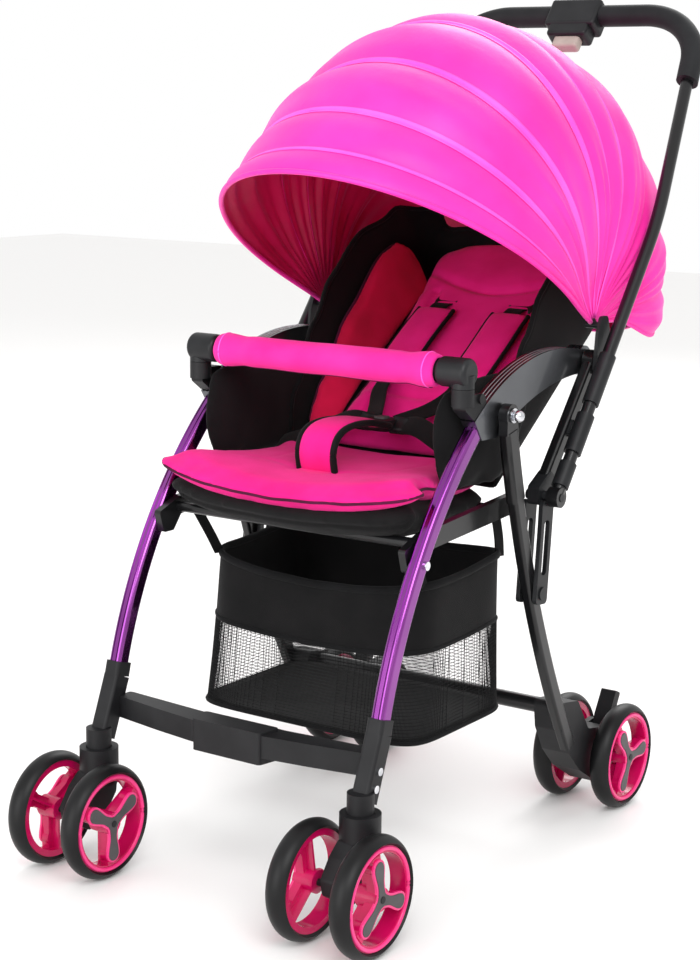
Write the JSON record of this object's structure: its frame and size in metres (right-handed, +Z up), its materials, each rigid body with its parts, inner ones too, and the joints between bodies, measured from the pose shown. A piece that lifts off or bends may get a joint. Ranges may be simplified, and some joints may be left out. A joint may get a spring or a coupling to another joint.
{
  "type": "baby stroller",
  "caption": "Light baby stroller: curved front legs, twin wheels, padded reclining seat, ribbed folding canopy, bumper bar, basket and a reversible U handle.",
  "frame": {"origin": "on the ground, under the middle of the outline, with the stroller open and standing on its wheels", "axes": "+Z up; -Y the way the child faces; +X the child's left"},
  "size_m": [0.486, 0.9059, 1.0326],
  "materials": {
    "purple_aluminium": "anodised",
    "grey_extrusion": "satin",
    "black_tube": "gloss",
    "black_plastic": "textured",
    "steel": "plated",
    "grip_foam": "foam",
    "button_plastic": "satin",
    "pink_knit": "knit",
    "black_fabric": "woven",
    "pink_nylon": "woven",
    "black_webbing": "webbing",
    "black_mesh": "mesh",
    "tyre_rubber": "smooth",
    "pink_rim": "gloss"
  },
  "bodies": {
    "frame": {"front_leg_tubes": "purple_aluminium", "lower_legs": "black_plastic", "front_crossbar": "black_plastic", "armrests": "grey_extrusion", "frame_bolts": "steel", "seat_rails": "black_tube", "seat_pan": "black_fabric", "seat_pad": "pink_knit", "side_panels": "black_fabric", "crotch_pad": "pink_knit", "harness_buckle": "black_plastic", "waist_straps": "black_webbing", "bumper_sockets": "black_plastic", "basket": "black_mesh"},
    "back_frame": {"back_tubes": "black_tube", "pivot_brackets": "black_plastic", "pivot_blocks": "black_plastic", "canopy_skirt": "pink_nylon"},
    "handle": {"handle_tube": "black_tube", "handle_grip": "grip_foam", "button_housing": "black_plastic", "handle_sleeves": "black_plastic"},
    "fold_button": {"fold_button": "button_plastic"},
    "handle_locks": {"handle_locks": "black_plastic"},
    "canopy_rear_bow": {"canopy_panel_rear": "pink_nylon"},
    "canopy_middle_bow": {"canopy_panel_middle": "pink_nylon"},
    "canopy_front_bow": {"canopy_panel_front": "pink_nylon"},
    "backrest": {"backrest_shell": "black_fabric", "backrest_pad": "pink_knit", "shoulder_straps": "black_webbing", "shoulder_pads": "pink_knit"},
    "bumper": {"bumper_bar": "black_plastic", "bumper_cover": "pink_knit"},
    "rear_frame": {"rear_legs": "black_tube", "rear_crossbar": "black_tube", "rear_hubs": "black_plastic"},
    "fold_catches": {"fold_catches": "black_plastic"},
    "brake_pedal_left": {"brake_pedal_left": "black_plastic"},
    "brake_pedal_right": {"brake_pedal_right": "black_plastic"},
    "caster_left": {"caster_fork_left": "black_plastic"},
    "caster_right": {"caster_fork_right": "black_plastic"},
    "wheel_front_left_outer": {"tyre_front_left_outer": "tyre_rubber", "rim_front_left_outer": "pink_rim"},
    "wheel_front_left_inner": {"tyre_front_left_inner": "tyre_rubber", "rim_front_left_inner": "pink_rim"},
    "wheel_front_right_outer": {"tyre_front_right_outer": "tyre_rubber", "rim_front_right_outer": "pink_rim"},
    "wheel_front_right_inner": {"tyre_front_right_inner": "tyre_rubber", "rim_front_right_inner": "pink_rim"},
    "wheel_rear_left_outer": {"tyre_rear_left_outer": "tyre_rubber", "rim_rear_left_outer": "pink_rim"},
    "wheel_rear_left_inner": {"tyre_rear_left_inner": "tyre_rubber", "rim_rear_left_inner": "pink_rim"},
    "wheel_rear_right_outer": {"tyre_rear_right_outer": "tyre_rubber", "rim_rear_right_outer": "pink_rim"},
    "wheel_rear_right_inner": {"tyre_rear_right_inner": "tyre_rubber", "rim_rear_right_inner": "pink_rim"}
  },
  "joints": [
    {"name": "rear_leg_fold", "type": "hinge", "parent": "frame", "child": "rear_frame", "pos_m": [0, -0.0865, 0.543], "axis": [1, 0, 0], "range_deg": [-36, 0]},
    {"name": "back_frame_fold", "type": "hinge", "parent": "frame", "child": "back_frame", "pos_m": [0, 0.1135, 0.586], "axis": [1, 0, 0], "range_deg": [-9.37, 0]},
    {"name": "fold_catch_turn", "type": "hinge", "parent": "rear_frame", "child": "fold_catches", "pos_m": [0, -0.0185, 0.322], "axis": [1, 0, 0], "range_deg": [0, 14.23]},
    {"name": "handle_flip", "type": "hinge", "parent": "back_frame", "child": "handle", "pos_m": [0, -0.0085, 0.438], "axis": [1, 0, 0], "range_deg": [0, 65]},
    {"name": "handle_lock_slide", "type": "slide", "parent": "handle", "child": "handle_locks", "axis": [0, 0.6088, 0.7934], "range_m": [0, 0.012], "stiffness_N_per_m": 200, "springref_m": -0.005},
    {"name": "fold_button_press", "type": "slide", "parent": "handle", "child": "fold_button", "axis": [0, 0.6088, 0.7934], "range_m": [0, 0.006], "stiffness_N_per_m": 300, "springref_m": -0.003},
    {"name": "canopy_rear_fold", "type": "hinge", "parent": "back_frame", "child": "canopy_rear_bow", "pos_m": [0, 0.1235, 0.628], "axis": [1, 0, 0], "range_deg": [-22.01, 0]},
    {"name": "canopy_middle_fold", "type": "hinge", "parent": "canopy_rear_bow", "child": "canopy_middle_bow", "pos_m": [0, 0.1235, 0.628], "axis": [1, 0, 0], "range_deg": [-18.01, 0]},
    {"name": "canopy_front_fold", "type": "hinge", "parent": "canopy_middle_bow", "child": "canopy_front_bow", "pos_m": [0, 0.1235, 0.628], "axis": [1, 0, 0], "range_deg": [-30, 0]},
    {"name": "backrest_recline", "type": "hinge", "parent": "frame", "child": "backrest", "pos_m": [0, -0.0145, 0.446], "axis": [1, 0, 0], "range_deg": [-6, 23]},
    {"name": "bumper_swing", "type": "hinge", "parent": "frame", "child": "bumper", "pos_m": [-0.187, -0.1565, 0.579], "axis": [0, 0, 1], "range_deg": [-110, 0]},
    {"name": "brake_pedal_press_left", "type": "hinge", "parent": "rear_frame", "child": "brake_pedal_left", "pos_m": [0.187, 0.2015, 0.096], "axis": [1, 0, 0], "range_deg": [-18, 0]},
    {"name": "brake_pedal_press_right", "type": "hinge", "parent": "rear_frame", "child": "brake_pedal_right", "pos_m": [-0.187, 0.2015, 0.096], "axis": [1, 0, 0], "range_deg": [-18, 0]},
    {"name": "caster_swivel_left", "type": "hinge", "parent": "frame", "child": "caster_left", "pos_m": [0.187, -0.3485, 0.116], "axis": [0, 0, 1], "continuous": true},
    {"name": "caster_swivel_right", "type": "hinge", "parent": "frame", "child": "caster_right", "pos_m": [-0.187, -0.3485, 0.116], "axis": [0, 0, 1], "continuous": true},
    {"name": "wheel_spin_front_left_outer", "type": "hinge", "parent": "caster_left", "child": "wheel_front_left_outer", "pos_m": [0.228, -0.3855, 0.0675], "axis": [1, 0, 0], "continuous": true},
    {"name": "wheel_spin_front_left_inner", "type": "hinge", "parent": "caster_left", "child": "wheel_front_left_inner", "pos_m": [0.146, -0.3855, 0.0675], "axis": [1, 0, 0], "continuous": true},
    {"name": "wheel_spin_front_right_outer", "type": "hinge", "parent": "caster_right", "child": "wheel_front_right_outer", "pos_m": [-0.228, -0.3855, 0.0675], "axis": [1, 0, 0], "continuous": true},
    {"name": "wheel_spin_front_right_inner", "type": "hinge", "parent": "caster_right", "child": "wheel_front_right_inner", "pos_m": [-0.146, -0.3855, 0.0675], "axis": [1, 0, 0], "continuous": true},
    {"name": "wheel_spin_rear_left_outer", "type": "hinge", "parent": "rear_frame", "child": "wheel_rear_left_outer", "pos_m": [0.228, 0.1885, 0.0675], "axis": [1, 0, 0], "continuous": true},
    {"name": "wheel_spin_rear_left_inner", "type": "hinge", "parent": "rear_frame", "child": "wheel_rear_left_inner", "pos_m": [0.146, 0.1885, 0.0675], "axis": [1, 0, 0], "continuous": true},
    {"name": "wheel_spin_rear_right_outer", "type": "hinge", "parent": "rear_frame", "child": "wheel_rear_right_outer", "pos_m": [-0.228, 0.1885, 0.0675], "axis": [1, 0, 0], "continuous": true},
    {"name": "wheel_spin_rear_right_inner", "type": "hinge", "parent": "rear_frame", "child": "wheel_rear_right_inner", "pos_m": [-0.146, 0.1885, 0.0675], "axis": [1, 0, 0], "continuous": true}
  ],
  "couplings": [
    {"joint": "back_frame_fold", "follows": "rear_leg_fold", "ratio": 0.26},
    {"joint": "fold_catch_turn", "follows": "rear_leg_fold", "ratio": -0.395},
    {"joint": "canopy_rear_fold", "follows": "canopy_front_fold", "ratio": 0.73333},
    {"joint": "canopy_middle_fold", "follows": "canopy_front_fold", "ratio": 0.6}
  ]
}
